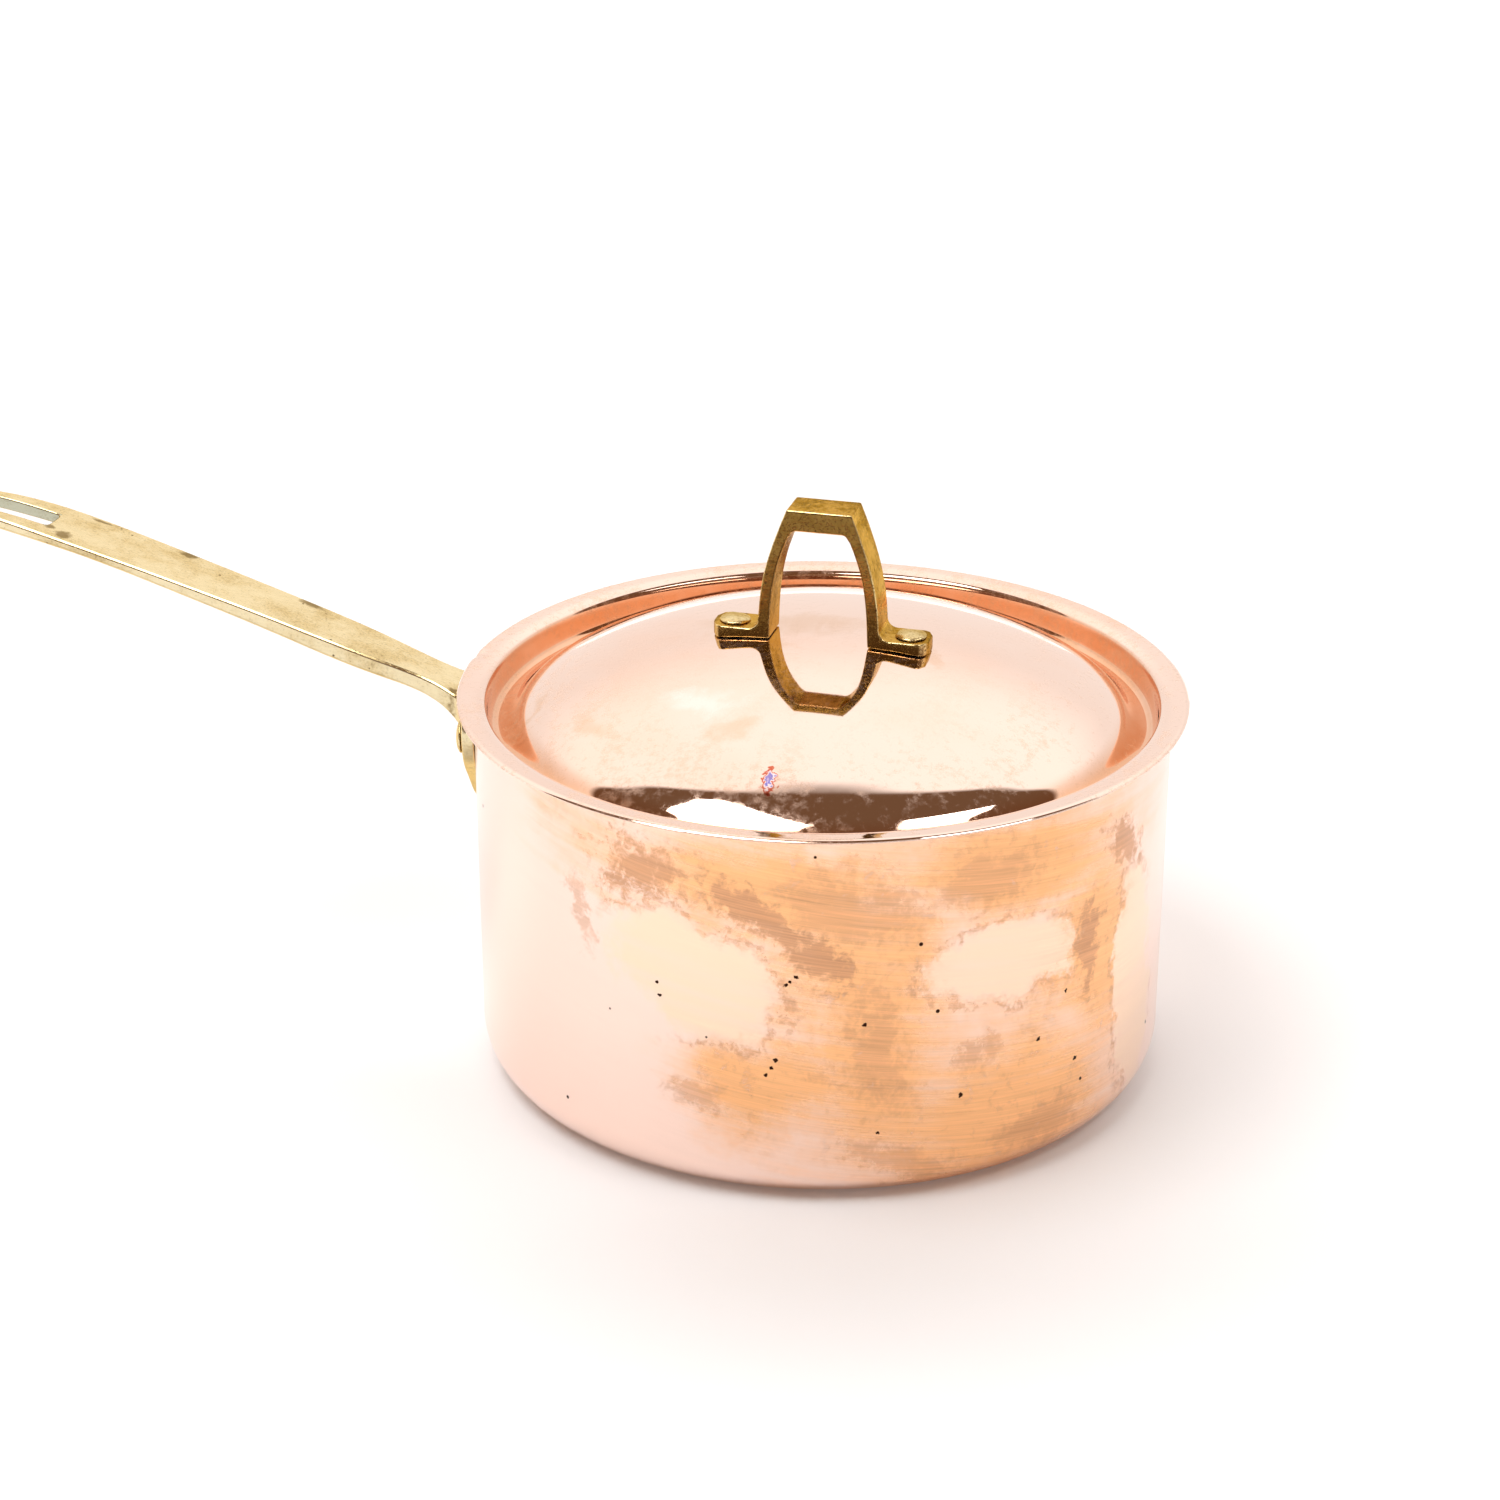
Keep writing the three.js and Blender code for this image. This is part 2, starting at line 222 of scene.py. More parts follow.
def add_grid(bm, rows, closed=True):
    """Skins rows of points, each row closed into a ring if asked. Returns the rows' vertices."""
    made = [[bm.verts.new(p) for p in row] for row in rows]
    for low, high in zip(made, made[1:]):
        for j in range(len(low) if closed else len(low) - 1):
            k = (j + 1) % len(low)
            quad = []
            for v in (low[j], low[k], high[k], high[j]):
                if not any((v.co - q.co).length < 1e-6 for q in quad):
                    quad.append(v)
            if len(quad) > 2:
                bm.faces.new(quad)
    return made


def lathe(name, profile, steps):
    """Turns a profile of (radius, height) about Z."""
    angles = [2 * math.pi * i / steps for i in range(steps)]
    rows = []
    for radius, height in profile:
        r = max(radius, 0)
        rows.append([(r * math.cos(a), r * math.sin(a), height) for a in angles])
    bm = bmesh.new()
    for low, high, (r_low, z_low), (r_high, z_high) in zip(rows, rows[1:], profile, profile[1:]):
        if r_low < 1e-6:
            tip = bm.verts.new((0, 0, z_low))
            ring = [bm.verts.new(p) for p in high]
            for j in range(steps):
                bm.faces.new((tip, ring[j], ring[(j + 1) % steps]))
        elif r_high < 1e-6:
            tip = bm.verts.new((0, 0, z_high))
            ring = [bm.verts.new(p) for p in low]
            for j in range(steps):
                bm.faces.new((tip, ring[(j + 1) % steps], ring[j]))
        else:
            add_grid(bm, [low, high])
    return finish_mesh(name, bm)


def unevenness(point, size, seed):
    """Smooth noise from -1 to 1 at a point in metres, with features of the given size."""
    return noise.noise(point / (size * MM) + Vector((seed, seed * 1.7, -seed)))


def ripple(piece, waves):
    """Moves vertices along their normals by noise: waves are (depth in mm, size in mm, seed)."""
    mesh = piece.data
    normals = [v.normal.copy() for v in mesh.vertices]
    for v, normal in zip(mesh.vertices, normals):
        depth = sum(d * unevenness(v.co, size, seed) for d, size, seed in waves)
        v.co += normal * depth * MM
    mesh.update()


def sharpen(piece):
    """Keeps broad faces flat beside narrow bevels."""
    weighted = piece.modifiers.new("flat_faces", "WEIGHTED_NORMAL")
    weighted.weight = 60
    weighted.keep_sharp = False


def take_place(piece, node):
    """The piece stands for a CAD node: it joins the same body, and the CAD part is hidden."""
    body = next(b for b, nodes in frame["record"]["behaviour"]["bodies"].items() if node in nodes)
    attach(piece, body)
    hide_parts(node)
    return piece


# ---------------------------------------------------------------- pan

def cup_profile(radius, wall, bottom, fillet, lip):
    """Outside from the centre of the base up to the rim, then down the inside."""
    top = PAN_HEIGHT
    inner = radius - wall
    outside = [(0, bottom), (30, bottom), (60, bottom), (radius - fillet - 4, bottom)]
    outside += [
        (radius - fillet + fillet * math.sin(a * DEGREE), bottom + fillet - fillet * math.cos(a * DEGREE))
        for a in np.linspace(0, 90, 16)
    ]
    outside += [(radius, z) for z in np.linspace(bottom + fillet, top - 3, 24)[1:]]
    rim = rounded([(radius, top - 2), (radius, top, lip), (inner, top, lip), (inner, top - 2)], 5)
    small = fillet - wall
    inside = [(inner, z) for z in np.linspace(top - 3, bottom + fillet, 24)[:-1]]
    inside += [
        (inner - small + small * math.cos(a * DEGREE), bottom + fillet - small * math.sin(a * DEGREE))
        for a in np.linspace(0, 90, 16)
    ]
    return outside + rim + inside + [(60, bottom + wall), (30, bottom + wall), (0, bottom + wall)]


def make_pan_shell():
    profile = cup_profile(PAN_RADIUS, COPPER_WALL, 0, BASE_FILLET, 0.4)
    piece = lathe("pan_copper_shell", profile, PAN_STEPS)
    ripple(piece, [(0.05, 55, 3), (0.012, 14, 8)])
    for v in piece.data.vertices:
        v.co.z = max(v.co.z, 0)
    return take_place(piece, "pan_shell")


def make_pan_lining():
    inset = COPPER_WALL + LINING_GAP
    profile = cup_profile(PAN_RADIUS - inset, LINING_WALL, inset, BASE_FILLET - inset, 0.18)
    piece = lathe("pan_bright_lining", profile, PAN_STEPS)
    ripple(piece, [(0.03, 45, 5)])
    return take_place(piece, "pan_lining")


# ---------------------------------------------------------------- lid

def dome_height(radius):
    """Height of the dome's top at a radius."""
    return DOME_TOP - DOME_SQUARE * radius ** 2 - DOME_FOURTH * radius ** 4


def lid_surface(with_edge):
    """Top of the lid from the centre outwards, as (radius, height)."""
    dome = [(r, dome_height(r)) for r in DOME_RADII]
    return dome + list(LID_GROOVE) + list(LID_FLANGE) + (list(LID_ROLLED_EDGE) if with_edge else [])


def lowered(points, depth):
    """The curve moved down along its normals."""
    out = []
    for i, (r, z) in enumerate(points):
        before, after = points[max(0, i - 1)], points[min(len(points) - 1, i + 1)]
        run = after[0] - before[0]
        rise = 0 if i in (0, len(points) - 1) else after[1] - before[1]
        length = math.hypot(run, rise)
        out.append((r + depth * rise / length if i else 0.0, z - depth * run / length))
    return out


def lid_sheet(name, depth, thickness, with_edge, steps):
    """One sheet of the lid: its top lies at a depth under the lid's surface."""
    surface = lid_surface(with_edge)
    upper = [tuple(p) for p in natural_spline(lowered(surface, depth), 7)]
    lower = [tuple(p) for p in natural_spline(lowered(surface, depth + thickness), 2)]
    lip = thickness * 0.4
    edge = rounded([upper[-2], (*upper[-1], lip), (*lower[-1], lip), lower[-2]], 4)
    upper[0], lower[0] = (0, upper[0][1]), (0, lower[0][1])
    return lathe(name, upper[:-1] + edge[1:-1] + lower[:-1][::-1], steps)


def make_lid_sheet():
    piece = lid_sheet("lid_copper_dome", 0, LID_COPPER, True, LID_STEPS)
    ripple(piece, [(0.03, 60, 11)])
    for v in piece.data.vertices:
        away = math.hypot(v.co.x / MM - DENT_PLACE[0], v.co.y / MM - DENT_PLACE[1])
        v.co.z -= DENT_DEPTH * MM * max(0, 1 - (away / DENT_RADIUS) ** 2) ** 2
    return take_place(piece, "lid_sheet")


def make_lid_lining():
    depth = LID_COPPER + LID_GAP
    piece = lid_sheet("lid_bright_lining", depth, LID_LINING, False, LID_LINING_STEPS)
    return take_place(piece, "lid_lining")


# ---------------------------------------------------------------- long handle

TOP_SPLITS = 12
SIDE_SPLITS = 9
NOSE_STEPS = 26
FAR_END_START = SLOT_NEAR - 6
SLOT_STRETCH = 1.9

# Rings from the flat round the slot into it: growth of the slot, depth and how far from the outline
SLOT_RINGS = ((2.6, 0, 0.5), (0.5, 0, 1), (0.15, 0.12, 1), (0, 0.5, 1))

# Half of the flange's outline as (y, height from the rim), from the top to the tip
SHIELD_HALF = (
    (12, -5), (18, -5.1), (23.6, -6.1), (26.8, -9.4), (27.3, -13.5), (25.2, -19),
    (20.2, -25), (14.6, -30.8), (9.8, -36.4), (5.6, -39.9), (0, -40.8),
)

# Where the bar spreads onto the flange: height over it, then top, thickness and width of the ring
ROOT_SPREAD = ((2.2, -8.6, 11.6, 21), (1.1, -8.3, 13.8, 24.2), (0.35, -8.0, 16.2, 27.4))
ROOT_FOOT = (-7.7, 18.2, 30)

bar_curve = natural_spline(BAR_STATIONS, 40)


def bar_at(distance):
    """Top, thickness and width of the bar at a distance from the pan's axis."""
    return [float(np.interp(distance, bar_curve[:, 0], bar_curve[:, k])) for k in (1, 2, 3)]


def side_profile(thickness):
    """Side of the bar as (inset, depth below the top), from the top flat to the bottom flat."""
    corners = [
        (3, 0),
        (BAR_CHAMFER, 0, 0.2),
        (0, BAR_CHAMFER, 0.7),
        (0.3, thickness - 0.9, 0.8),
        (1.3, thickness, 0.5),
        (3, thickness),
    ]
    edge = rounded(corners, 3)[1:-1]
    middle = len(edge) // 2
    above, below = Vector(edge[middle - 1]), Vector(edge[middle])
    between = [tuple(above.lerp(below, k / SIDE_SPLITS)) for k in range(1, SIDE_SPLITS)]
    return edge[:middle] + between + edge[middle:]


def bar_ring(distance, top, thickness, width):
    """One closed cross-section of the bar."""
    half = width / 2
    side = side_profile(thickness)
    high = RIM_LEVEL + top
    right = [(half - inset, high - depth) for inset, depth in side]
    flat_top, flat_low = right[0], right[-1]
    inner = np.linspace(-flat_top[0], flat_top[0], TOP_SPLITS + 1)[1:-1]
    below = np.linspace(flat_low[0], -flat_low[0], TOP_SPLITS + 1)[1:-1]
    ring = [(y, flat_top[1]) for y in inner] + right
    ring += [(y, flat_low[1]) for y in below] + [(-y, z) for y, z in right[::-1]]
    return [(-distance, y, z) for y, z in ring]


def plan_outline():
    """Outline of the far end in plan, from the right side round the nose to the left side."""
    start = FAR_END_START
    half = []
    for k in range(NOSE_STEPS + 1):
        d = start + (BAR_END - start) * math.sin(90 * DEGREE * k / NOSE_STEPS)
        along = max(0, d - (BAR_END - END_ROUND)) / END_ROUND
        half.append((d, bar_at(d)[2] / 2 * math.sqrt(max(0, 1 - along ** 2))))
    return half + [(d, -y) for d, y in half[-2::-1]]


def outline_normals(outline):
    """Outward directions in plan at the points of the far end's outline."""
    out = []
    for i in range(len(outline)):
        a, b = outline[max(0, i - 1)], outline[min(len(outline) - 1, i + 1)]
        out.append(Vector((a[1] - b[1], b[0] - a[0])).normalized())
    out[0], out[-1] = Vector((0, 1)), Vector((0, -1))
    return out


def slot_outline(grow):
    """Hanging slot in plan, squared at the pan side and round at the far side."""
    wide = SLOT_WIDTH / 2 + grow
    near, far = SLOT_NEAR - grow, SLOT_FAR + grow
    right = rounded([(near, 0), (near, wide * 0.94, 1.5 + grow), (far, wide, wide * 0.9), (far, 0)], 10)
    return right + [(d, -y) for d, y in right[-2:0:-1]]


def ray_to(outline, centre, angle):
    """The point where a ray from the centre leaves a closed outline."""
    direction = Vector((math.cos(angle), math.sin(angle)))
    best = None
    for i in range(len(outline)):
        a = Vector(outline[i]) - centre
        b = Vector(outline[(i + 1) % len(outline)]) - centre
        edge = b - a
        cross = direction.x * edge.y - direction.y * edge.x
        if abs(cross) < 1e-12:
            continue
        reach = (a.x * edge.y - a.y * edge.x) / cross
        share = (a.x * direction.y - a.y * direction.x) / cross
        if reach > 0 and -1e-6 <= share <= 1 + 1e-6 and (best is None or reach > best):
            best = reach
    return centre + direction * best


def far_end(bm):
    """The far end: a block whose sides follow the outline and whose middle is the slot."""
    outline = plan_outline()
    normals = outline_normals(outline)
    strips = []
    for (d, y), normal in zip(outline, normals):
        top, thickness, _ = bar_at(min(d, BAR_END))
        strips.append([
            (-(d - normal.x * inset), y - normal.y * inset, RIM_LEVEL + top - depth)
            for inset, depth in side_profile(thickness)
        ])
    add_grid(bm, strips, closed=False)
    for level, end in ((0, 0), (1, -1)):
        flat = [strip[end] for strip in strips]
        first, last = Vector(flat[0]), Vector(flat[-1])
        cross = [tuple(last.lerp(first, k / TOP_SPLITS)) for k in range(1, TOP_SPLITS)]
        loop = flat + cross
        centre = Vector((-(SLOT_NEAR + SLOT_FAR) / 2, 0))
        rings = [loop]
        for grow, depth, share in SLOT_RINGS:
            hole = [(-d, y) for d, y in slot_outline(grow)]
            ring = []
            for x, y, z in loop:
                angle = math.atan2(y * SLOT_STRETCH, x - centre.x)
                angle = math.atan2(math.sin(angle) / SLOT_STRETCH, math.cos(angle))
                p = ray_to(hole, centre, angle)
                q = Vector((x, y)).lerp(p, share)
                top, thickness, _ = bar_at(min(-q.x, BAR_END))
                height = RIM_LEVEL + top - (depth if level == 0 else thickness - depth)
                ring.append((q.x, q.y, height))
            rings.append(ring)
        add_grid(bm, rings)
        if level == 0:
            top_ring = rings[-1]
        else:
            add_grid(bm, [top_ring, rings[-1]])


def shield_outline():
    """Flange outline as (y, height from the rim): level top, round shoulders, low tip."""
    right = [(0.0, -5.0)] + [tuple(p) for p in natural_spline(SHIELD_HALF, 6)]
    return right + [(-y, z) for y, z in right[-2:0:-1]]


def on_flange(y, z, height):
    """A point over the flange's curved face, at a height above it."""
    radius = FLANGE_OUTER + height
    return (-math.sqrt(radius ** 2 - y ** 2), y, RIM_LEVEL + z)


def root_rings():
    """Rings that spread from the bar onto the flange, round its edge and across its back."""
    shield = shield_outline()
    centre = Vector((0, FLANGE_CENTRE))
    rings = []
    for height, top, thickness, width in ROOT_SPREAD:
        flat = bar_ring(0, top, thickness, width)
        rings.append([on_flange(y, z - RIM_LEVEL, height) for _, y, z in flat])
    root = bar_ring(0, *ROOT_FOOT)
    reach = []
    for _, y, z in root:
        angle = math.atan2(z - RIM_LEVEL - centre.y, y)
        reach.append(ray_to(shield, centre, angle))
    rings.append([on_flange(y, z - RIM_LEVEL, 0.06) for _, y, z in root])
    for share in (0.35, 0.7):
        rings.append([
            on_flange(*Vector((y, z - RIM_LEVEL)).lerp(p - (p - centre).normalized() * 1.2, share), 0)
            for (_, y, z), p in zip(root, reach)
        ])
    deep = FLANGE_INNER - FLANGE_OUTER
    rounding = ((1.2, 0), (0.6, -0.08), (0.2, -0.35), (0, -0.9))
    back = ((0, deep + 0.6), (0.3, deep), (8, deep), (15, deep))
    for inset, height in rounding + back:
        rings.append([on_flange(*(p - (p - centre).normalized() * inset), height) for p in reach])
    return rings


def make_long_handle():
    bm = bmesh.new()
    distances = list(np.linspace(FAR_END_START, 112, 54)) + [109, 107, 105, 103.2, 101.8]
    rows = [bar_ring(d, *bar_at(d)) for d in distances]
    made = add_grid(bm, rows + root_rings())
    bm.faces.new(made[-1])
    far_end(bm)
    piece = finish_mesh("long_brass_handle", bm, 2e-6)
    sharpen(piece)
    ripple(piece, [(0.06, 40, 2), (0.012, 7, 6)])
    return take_place(piece, "long_handle")


# ---------------------------------------------------------------- rivets

def rivet_profile(shank, head, dome, low, high, under):
    """A rivet along +Z: a flattened inner head, the shank and a low domed outer head."""
    flat = low + 0.9
    rim = [(under - 1.2, low, 0.5), (under, low + 0.5, 0.3), (under, flat)]
    inner = rounded([(0, low), *rim, (shank, flat)], 3)
    seat = [(shank, high - 0.1), (head - 0.6, high - 0.1), (head - 0.15, high - 0.05)]
    angles = np.linspace(0, 86, 12) * DEGREE
    outer = [(head * math.cos(a), high + dome * math.sin(a)) for a in angles]
    return inner + seat + outer + [(0, high + dome)]


def make_handle_rivet(node, angle, height, seed):
    inner = PAN_RADIUS - COPPER_WALL - LINING_GAP - LINING_WALL
    profile = rivet_profile(2.6, 4.6, 1.4, inner - 1.2, FLANGE_OUTER + 0.35, 4.4)
    piece = lathe(node + "_head", profile, RIVET_STEPS)
    turn = Matrix.Rotation(angle * DEGREE, 4, "Z") @ Matrix.Rotation(-math.pi / 2, 4, "Y")
    piece.data.transform(Matrix.Translation((0, 0, height * MM)) @ turn)
    ripple(piece, [(0.16, 4.2, seed), (0.05, 1.6, seed + 5)])
    return take_place(piece, node)


def lug_top():
    """Height of the lugs' flat tops."""
    return dome_height(24) + LUG_SEAT_GAP + LUG_THICKNESS


def make_lid_rivet(node, x, seed):
    under = dome_height(abs(x) + 4.2) - LID_COPPER - LID_GAP - LID_LINING - 0.7
    profile = rivet_profile(2.2, 4.2, 1.1, under - 1.0, lug_top() + 0.25, 4.0)
    piece = lathe(node + "_head", profile, RIVET_STEPS)
    piece.data.transform(Matrix.Translation((x * MM, 0, 0)))
    ripple(piece, [(0.3, 3.4, seed), (0.1, 1.3, seed + 5)])
    return take_place(piece, node)


# ---------------------------------------------------------------- loop handle

def loop_path():
    """Matching outer and inner edges of the strap as (x, z), from the lug's end to the middle."""
    high = lug_top()
    foot = dome_height(13.5) + LUG_SEAT_GAP

    def floor_at(x):
        return dome_height(x) + LUG_SEAT_GAP

    outer, inner = [], []
    for x in np.linspace(LUG_REACH, LUG_INNER_END, 9):
        outer.append((x, high))
        inner.append((x, floor_at(x)))
    inner += [(x, floor_at(x)) for x in (16.4, 15.2, 14.2, 13.62)]
    inner += [(x, foot + rise) for x, rise in ((13.5, 0.15), (13.45, 0.7), (13.4, 1.8))]
    for a in np.arange(1, 8) / 7 * 90 * DEGREE:
        outer.append((LUG_INNER_END - LUG_FILLET * math.sin(a), high + LUG_FILLET * (1 - math.cos(a))))
    leg_out = natural_spline([(16.6, high + LUG_FILLET), *LEG_OUTSIDE], 26)
    leg_in = natural_spline([(13.4, foot + 1.8), *LEG_INSIDE], 26)
    outer += [tuple(p) for p in leg_out[1::2]]
    inner += [tuple(p) for p in leg_in[1::2]]
    outer += rounded([LEG_OUTSIDE[-1], (8.8, LOOP_TOP, 0.6), (4.5, LOOP_TOP)], 5)[1:]
    inner += rounded([LEG_INSIDE[-1], (7.0, LOOP_FLAT_UNDER, 1.6), (3.5, LOOP_FLAT_UNDER)], 5)[1:]
    outer.append((0, LOOP_TOP))
    inner.append((0, LOOP_FLAT_UNDER))
    return outer, inner


def strap_ring(outer, inner, half_depth):
    """Rounded rectangle across the strap, between two matching edge points."""
    o, i = Vector(outer), Vector(inner)
    across = i - o
    thick = across.length
    corners = [
        (0, 0),
        (half_depth, 0, STRAP_BEVEL),
        (half_depth, thick, STRAP_BEVEL),
        (-half_depth, thick, STRAP_BEVEL),
        (-half_depth, 0, STRAP_BEVEL),
        (0, 0),
    ]
    ring = []
    for y, depth in rounded(corners, 3)[:-1]:
        p = o + across * (depth / thick)
        ring.append((p.x, y, p.y))
    return ring


def make_loop():
    outer, inner = loop_path()
    rings = []
    for o, i in zip(outer, inner):
        into = max(0, o[0] - (LUG_REACH - LUG_CORNER))
        half = LOOP_HALF_DEPTH - LUG_CORNER + math.sqrt(max(0, LUG_CORNER ** 2 - into ** 2))
        rings.append(strap_ring(o, i, half))
    mirrored = [[(-x, y, z) for x, y, z in ring] for ring in rings[-2::-1]]
    bm = bmesh.new()
    made = add_grid(bm, rings + mirrored)
    bm.faces.new(made[0])
    bm.faces.new(made[-1])
    piece = finish_mesh("lid_loop_strap", bm)
    sharpen(piece)
    ripple(piece, [(0.05, 9, 21), (0.02, 3.0, 9)])
    return take_place(piece, "lid_loop_handle")


# ---------------------------------------------------------------- materials

class Nodes:
    """Short calls for building the node tree of a material or a world."""

    def __init__(self, owner):
        owner.use_nodes = True
        self.owner = owner
        self.tree = owner.node_tree
        self.tree.nodes.clear()

    def add(self, kind, inputs=None, **settings):
        node = self.tree.nodes.new(kind)
        for key, value in settings.items():
            setattr(node, key, value)
        for key, value in (inputs or {}).items():
            if isinstance(value, bpy.types.NodeSocket):
                self.tree.links.new(value, node.inputs[key])
            else:
                node.inputs[key].default_value = value
        return node

    def math(self, operation, *values, clamp=False):
        node = self.add("ShaderNodeMath", dict(enumerate(values)), operation=operation, use_clamp=clamp)
        return node.outputs[0]

    def vector(self, operation, *values):
        return self.add("ShaderNodeVectorMath", dict(enumerate(values)), operation=operation).outputs[0]

    def point(self, x, y, z):
        return self.add("ShaderNodeCombineXYZ", {0: x, 1: y, 2: z}).outputs[0]

    def split(self, vector):
        return self.add("ShaderNodeSeparateXYZ", {0: vector}).outputs

    def measure(self, operation, *vectors):
        """A vector operation that gives a number."""
        node = self.add("ShaderNodeVectorMath", dict(enumerate(vectors)), operation=operation)
        return node.outputs["Value"]

    def scatter(self, place, reach, **settings):
        """A shift of up to half the reach either way, from coloured noise."""
        ragged = self.add("ShaderNodeTexNoise", {"Vector": place, **settings}).outputs["Color"]
        return self.vector("MULTIPLY", self.vector("SUBTRACT", ragged, (0.5, 0.5, 0.5)), reach)

    def place(self):
        return self.add("ShaderNodeTexCoord").outputs["Object"]

    def noise(self, place, scale, detail=4.0, rough=0.55, distort=0.0):
        values = {"Scale": scale, "Detail": detail, "Roughness": rough, "Distortion": distort}
        return self.add("ShaderNodeTexNoise", {"Vector": place, **values}).outputs[0]

    def less(self, share, amount):
        """One less an amount of a share."""
        return self.math("SUBTRACT", 1, self.math("MULTIPLY", share, amount))

    def step(self, value, low, high, to_low=0.0, to_high=1.0):
        """A smooth change from one number to another as the value goes from low to high."""
        values = {0: value, 1: low, 2: high, 3: to_low, 4: to_high}
        node = self.add("ShaderNodeMapRange", values, clamp=True, interpolation_type="SMOOTHSTEP")
        return node.outputs[0]

    def mix(self, share, a, b):
        node = self.add("ShaderNodeMix", data_type="RGBA")
        for socket, value in ((node.inputs[0], share), (node.inputs[6], a), (node.inputs[7], b)):
            if isinstance(value, bpy.types.NodeSocket):
                self.tree.links.new(value, socket)
            else:
                socket.default_value = value
        return node.outputs[2]

    def metal(self, colour, roughness, height, depth, strength, bare=1.0, edge=(1, 1, 1, 1)):
        """Finishes a metal: bump of a depth in metres, and the colour it turns to at its edges."""
        bump = self.add("ShaderNodeBump", {"Height": height, "Distance": depth, "Strength": strength})
        values = {"Base Color": colour, "Roughness": roughness, "Metallic": bare, "Normal": bump.outputs[0]}
        shader = self.add("ShaderNodeBsdfPrincipled", values)
        shader.inputs["Specular Tint"].default_value = edge
        return self.surface(shader)

    def surface(self, shader):
        self.add("ShaderNodeOutputMaterial", {0: shader.outputs[0]})
        return self.owner


def new_material(name):
    return Nodes(bpy.data.materials.new(name))


def around_and_up(n, place, radius):
    """Distance round the wall from the front and height, both in mm, as a flat vector."""
    x, y, z = n.split(place)
    angle = n.math("ARCTAN2", y, x)
    arc = n.math("MULTIPLY", n.math("ADD", angle, math.pi / 2), radius)
    return n.point(arc, n.math("MULTIPLY", z, 1000), 0)


def patch(n, where, centre, half, tilt):
    """An oval area: 1 at its centre, 0 at its edge and falling on below 0."""
    values = {
        "Vector": where,
        "Location": (*centre, 0),
        "Rotation": (0, 0, tilt * DEGREE),
        "Scale": (*half, 1000),
    }
    inside = n.add("ShaderNodeMapping", values, vector_type="TEXTURE").outputs[0]
    return n.math("SUBTRACT", 1, n.measure("LENGTH", inside))


def patches(n, where, areas):
    """The union of several oval areas."""
    total = patch(n, where, *areas[0])
    for area in areas[1:]:
        total = n.math("MAXIMUM", total, patch(n, where, *area))
    return total


def swing(n, value, amount):
    """Noise as a change either way about zero."""
    return n.math("MULTIPLY", n.math("SUBTRACT", value, 0.5), amount)


# Stained areas of the wall: centre and half size as (round, height) in mm, and tilt in degrees
BROWN_AREAS = (
    ((-23, 91), (20, 14), -12),
    ((7, 83), (25, 7), -30),
    ((24, 71), (10, 8), -30),
    ((101, 60), (6, 21), 0),
    ((118, 85), (14, 7), -38),
    ((228, 88), (22, 9), 12),
    ((290, 66), (12, 20), -20),
    ((352, 80), (26, 9), -24),
    ((330, 24), (22, 9), 8),
)
FADED_AREAS = (
    ((62, 39), (9, 7), 32),
    ((45, 12), (20, 8), -6),
    ((84, 13), (20, 9), 0),
    ((62, 88), (24, 9), 10),
    ((30, 86), (24, 12), -20),
    ((-10, 29), (14, 7), 0),
    ((36, 50), (14, 26), 10),
    ((-42, 74), (4, 14), 10),
)
TAN_AREAS = (
    ((36, 56), (26, 60), 9),
    ((6, 90), (60, 18), -8),
    ((76, 92), (56, 18), 0),
    ((106, 60), (22, 42), 0),
    ((72, 20), (50, 34), 0),
    ((8, 34), (26, 18), 0),
    ((222, 44), (30, 40), -12),
    ((272, 84), (54, 20), 6),
    ((300, 34), (44, 28), 0),
    ((368, 66), (32, 44), 14),
)
PALE_AREAS = (
    ((73, 65), (26, 12), 0),
    ((-12, 63), (26, 16), -18),
    ((124, 40), (12, 40), 4),
    ((258, 50), (26, 14), 12),
    ((340, 50), (18, 18), 0),
)
WALL_PITS = (
    (-20, 59.5), (-19.4, 56), (11.5, 42.3), (9, 37.8), (10.4, 40), (14, 63.8), (15.1, 64.7), (16.5, 66),
    (33.8, 52.6), (82.8, 39.4), (96.3, 29.2), (59.6, 29.2), (37.6, 21.3), (92, 50.6), (137, 21.8), (99, 22),
)


def pits(n, where, spots, size):
    """1 inside any of the small spots, with ragged edges."""
    nearest = None
    for spot in spots:
        away = n.measure("DISTANCE", where, (*spot, 0))
        nearest = away if nearest is None else n.math("MINIMUM", nearest, away)
    return n.step(nearest, size * 0.75, size, 1, 0)


def random_pits(n, place, scale, size):
    """Small scattered spots, one for each cell of a random pattern."""
    cells = n.add("ShaderNodeTexVoronoi", {"Vector": place, "Scale": scale}, feature="F1")
    return n.step(cells.outputs["Distance"], size * 0.7, size, 1, 0)


CLEAN_COPPER = (0.955, 0.73, 0.635, 1)
TAN_COPPER = (0.92, 0.50, 0.24, 1)
BROWN_COPPER = (0.61, 0.325, 0.18, 1)
CREAM_COPPER = (0.955, 0.715, 0.535, 1)
BASE_COPPER = (0.94, 0.68, 0.56, 1)
BASE_HEATED = (0.86, 0.52, 0.35, 1)
PIT_DARK = (0.035, 0.014, 0.008, 1)


